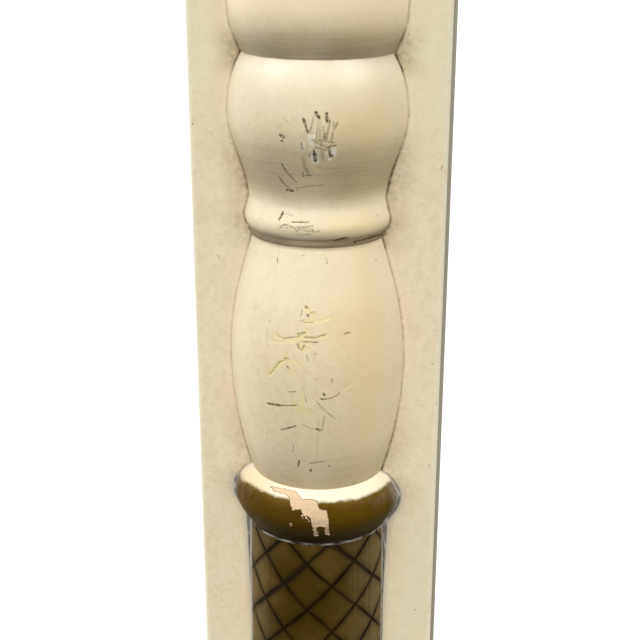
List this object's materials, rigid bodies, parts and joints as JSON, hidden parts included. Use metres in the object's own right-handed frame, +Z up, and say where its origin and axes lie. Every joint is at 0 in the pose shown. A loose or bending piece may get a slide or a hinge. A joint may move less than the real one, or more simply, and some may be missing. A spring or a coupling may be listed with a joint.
{
  "type": "wall mirror",
  "caption": "Painted wall mirror with split turned columns, rosette corner blocks, a reverse-painted glass tablet above the plate and swinging hanger rings behind.",
  "frame": {"origin": "centre of the flush back face, which hangs against the wall", "axes": "+Z up along the frame's height, +Y out of the back towards the wall, front faces -Y, +X to the right seen from the front"},
  "size_m": [0.66, 0.0758, 1.066],
  "materials": {
    "cream_paint": "aged cream paint over wood, eggshell sheen, toned brown in the corners",
    "turned_cream_paint": "aged cream paint over turned wood, eggshell sheen, scuffed",
    "antique_gilt": "antique bronze gilding over gesso, glossy and chipped",
    "bronze_lattice_paint": "bronze paint with dark brown lattice lines, semi gloss",
    "reverse_painted_glass": "glass painted and gilded on its back",
    "silvered_glass": "silvered, lightly aged at the edges",
    "grey_card": "plain grey board",
    "bare_pine": "unfinished pine",
    "plywood": "unfinished thin plywood",
    "screw_steel": "passivated steel",
    "hanger_steel": "bright zinc plated steel"
  },
  "bodies": {
    "frame": {"backboard": "plywood", "backboard_screws": "screw_steel", "bottom_baluster": "turned_cream_paint", "bottom_collar_left": "antique_gilt", "bottom_collar_right": "antique_gilt", "bottom_rail": "cream_paint", "bottom_shaft_left": "bronze_lattice_paint", "bottom_shaft_right": "bronze_lattice_paint", "corner_block_bottom_left": "cream_paint", "corner_block_bottom_right": "cream_paint", "corner_block_top_left": "cream_paint", "corner_block_top_right": "cream_paint", "hanger_screws": "screw_steel", "hanger_strap_left": "hanger_steel", "hanger_strap_right": "hanger_steel", "left_baluster": "turned_cream_paint", "left_collar_lower": "antique_gilt", "left_collar_upper": "antique_gilt", "left_shaft_lower": "bronze_lattice_paint", "left_shaft_upper": "bronze_lattice_paint", "left_stile": "cream_paint", "mid_bead": "antique_gilt", "mid_rail": "cream_paint", "mirror_card": "grey_card", "mirror_plate": "silvered_glass", "mirror_strip_bottom": "bare_pine", "mirror_strip_left": "bare_pine", "mirror_strip_right": "bare_pine", "mirror_strip_top": "bare_pine", "right_baluster": "turned_cream_paint", "right_collar_lower": "antique_gilt", "right_collar_upper": "antique_gilt", "right_shaft_lower": "bronze_lattice_paint", "right_shaft_upper": "bronze_lattice_paint", "right_stile": "cream_paint", "rosette_bottom_left": "antique_gilt", "rosette_bottom_right": "antique_gilt", "rosette_top_left": "antique_gilt", "rosette_top_right": "antique_gilt", "tablet_card": "grey_card", "tablet_glass": "reverse_painted_glass", "tablet_strip_bottom": "bare_pine", "tablet_strip_left": "bare_pine", "tablet_strip_right": "bare_pine", "tablet_strip_top": "bare_pine", "top_baluster": "turned_cream_paint", "top_collar_left": "antique_gilt", "top_collar_right": "antique_gilt", "top_rail": "cream_paint", "top_shaft_left": "bronze_lattice_paint", "top_shaft_right": "bronze_lattice_paint"},
    "ring_left": {"hanger_ring_left": "hanger_steel"},
    "ring_right": {"hanger_ring_right": "hanger_steel"}
  },
  "joints": [
    {"name": "ring_swing_left", "type": "hinge", "parent": "frame", "child": "ring_left", "pos_m": [-0.3015, 0.00348, 0.283], "axis": [1, 0, 0], "range_deg": [0, 180]},
    {"name": "ring_swing_right", "type": "hinge", "parent": "frame", "child": "ring_right", "pos_m": [0.3015, 0.00348, 0.283], "axis": [1, 0, 0], "range_deg": [0, 180]}
  ]
}
